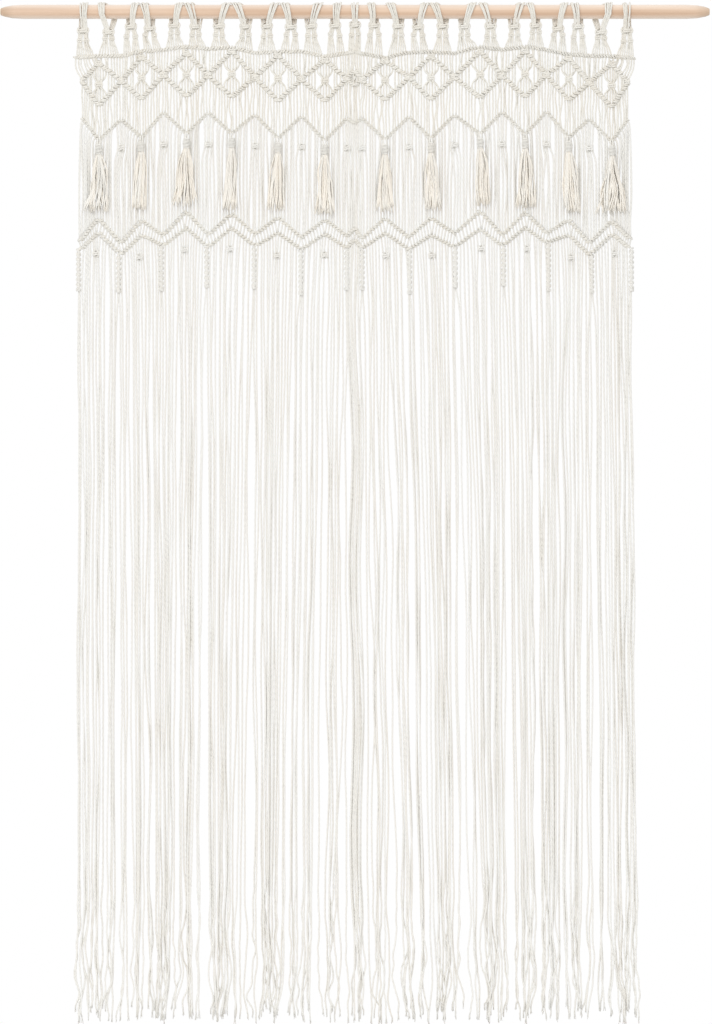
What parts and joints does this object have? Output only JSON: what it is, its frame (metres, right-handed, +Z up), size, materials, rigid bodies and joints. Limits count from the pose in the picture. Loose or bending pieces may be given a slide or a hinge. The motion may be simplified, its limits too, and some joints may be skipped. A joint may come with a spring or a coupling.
{
  "type": "macrame curtain on a rod",
  "caption": "Macrame curtain of knotted cotton cord with diamonds, zigzag rows, tassels and a long fringe, looped over a plain wooden rod.",
  "frame": {"origin": "on the rod's axis at the middle of its length", "axes": "+Z up, +X along the rod to the right as seen from the front, the front faces -Y"},
  "size_m": [1.393, 0.0366, 1.9924],
  "materials": {
    "rod_wood": "plain sanded pale wood",
    "cotton_cord": "undyed twisted cotton cord",
    "tassel_cotton": "warm undyed loose cotton"
  },
  "bodies": {
    "root": {"rod": "rod_wood", "net": "cotton_cord", "fringe": "cotton_cord", "tassel_01": "tassel_cotton", "tassel_02": "tassel_cotton", "tassel_03": "tassel_cotton", "tassel_04": "tassel_cotton", "tassel_05": "tassel_cotton", "tassel_06": "tassel_cotton", "tassel_07": "tassel_cotton", "tassel_08": "tassel_cotton", "tassel_09": "tassel_cotton", "tassel_10": "tassel_cotton", "tassel_11": "tassel_cotton", "tassel_12": "tassel_cotton"}
  },
  "joints": []
}
